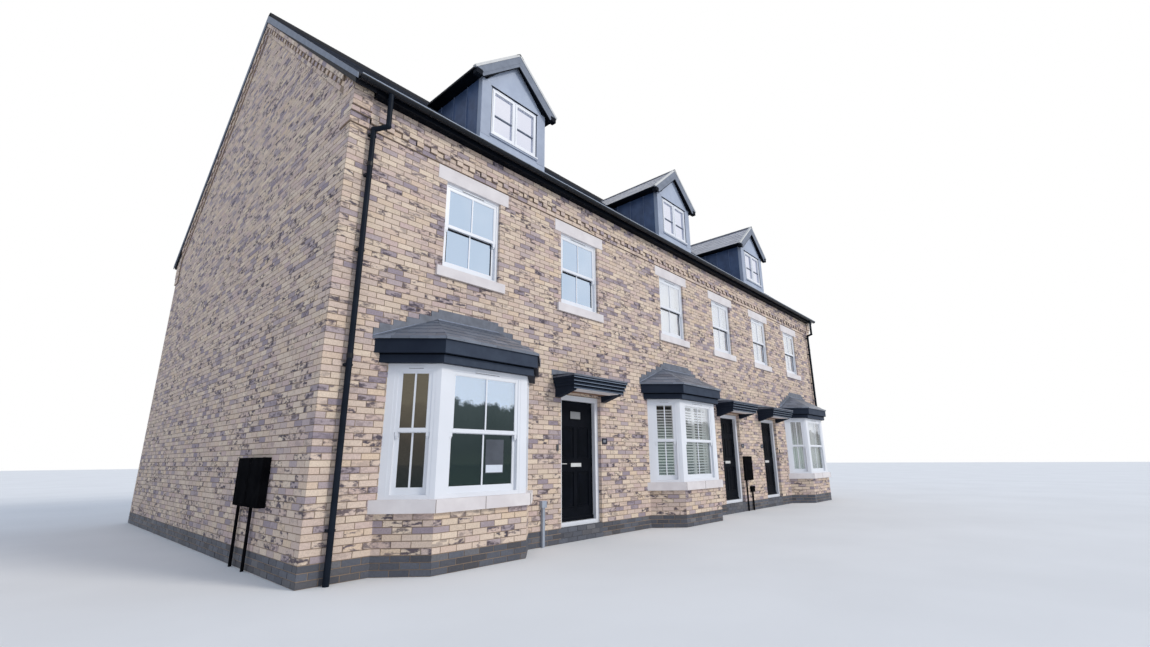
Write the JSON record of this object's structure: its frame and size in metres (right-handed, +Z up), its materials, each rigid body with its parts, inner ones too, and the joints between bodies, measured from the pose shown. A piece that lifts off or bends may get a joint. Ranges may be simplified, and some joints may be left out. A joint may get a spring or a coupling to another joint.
{
  "type": "terraced house row",
  "caption": "Row of brick houses with canted bay windows, canopied front doors that swing inward, sash windows, dentilled eaves and gabled roof dormers.",
  "frame": {"origin": "ground level under the middle of the row, on the underside of the middle ground floor", "axes": "+X along the row to the right seen from the front, -Y out of the front walls, +Z up"},
  "size_m": [16.964, 10.337, 10.3966],
  "materials": {
    "brick": "buff multi-stock facing brick with pale flush mortar",
    "plinth_brick": "blue-grey engineering brick",
    "blockwork": "plain blockwork",
    "concrete": "trowelled concrete",
    "timber": "plain sawn and sheet timber",
    "cast_stone": "smooth off-white cast stone",
    "white_frame": "satin white window and door frame",
    "window_glass": "clear sealed glass",
    "dark_fascia": "blue-black satin trim",
    "roof_slate": "dark grey slate",
    "lead": "dull grey lead sheet",
    "black_rainwater": "black satin rainwater plastic",
    "verge_grey": "grey trim",
    "dormer_cladding": "pale grey moulded face",
    "dormer_seam": "blue-black standing seam sheet",
    "black_box": "black moulded box",
    "fitting_grey": "grey moulded fittings",
    "door_black": "black satin door skin",
    "bright_metal": "polished metal"
  },
  "bodies": {
    "house_row": {"gable_wall_left": "brick", "gable_wall_right": "brick", "party_walls": "blockwork", "front_piers": "brick", "front_wall_over_openings": "brick", "doorstep_walls": "plinth_brick", "front_wall_upper": "brick", "rear_wall_ground": "brick", "rear_wall_upper": "brick", "wall_plates": "timber", "ground_floor": "concrete", "first_floor": "timber", "attic_floor": "timber", "bay_base_walls": "brick", "bay_sills": "cast_stone", "bay_frames": "white_frame", "bay_glass": "window_glass", "bay_fascias": "dark_fascia", "bay_roofs": "roof_slate", "bay_flashings": "lead", "canopies": "dark_fascia", "canopy_brackets": "dark_fascia", "door_frames": "white_frame", "window_sills": "cast_stone", "window_lintels": "cast_stone", "window_frames": "white_frame", "window_glass": "window_glass", "rear_doors": "white_frame", "eaves_courses": "brick", "kneelers": "brick", "verge_courses": "brick", "soffit_fascias": "dark_fascia", "gutters": "black_rainwater", "downpipes": "black_rainwater", "roof_front_low": "roof_slate", "roof_front_mid": "roof_slate", "roof_front_high": "roof_slate", "roof_rear": "roof_slate", "ridge_tiles": "roof_slate", "verge_trims": "verge_grey", "dormer_faces": "dormer_cladding", "dormer_cheeks": "dormer_seam", "dormer_window_frames": "white_frame", "dormer_glass": "window_glass", "dormer_roofs": "roof_slate", "dormer_bargeboards": "verge_grey", "meter_boxes": "black_box", "wall_fittings": "fitting_grey", "door_hinges": "bright_metal"},
    "door_1": {"door_1": "door_black", "door_1_furniture": "bright_metal"},
    "door_2": {"door_2": "door_black", "door_2_furniture": "bright_metal"},
    "door_3": {"door_3": "door_black", "door_3_furniture": "bright_metal"}
  },
  "joints": [
    {"name": "door_1_hinge", "type": "hinge", "parent": "house_row", "child": "door_1", "pos_m": [-3.547, -4.504, 1], "axis": [0, 0, -1], "range_deg": [0, 90]},
    {"name": "door_2_hinge", "type": "hinge", "parent": "house_row", "child": "door_2", "pos_m": [2.053, -4.504, 1], "axis": [0, 0, -1], "range_deg": [0, 90]},
    {"name": "door_3_hinge", "type": "hinge", "parent": "house_row", "child": "door_3", "pos_m": [4.443, -4.504, 1], "axis": [0, 0, -1], "range_deg": [0, 90]}
  ]
}
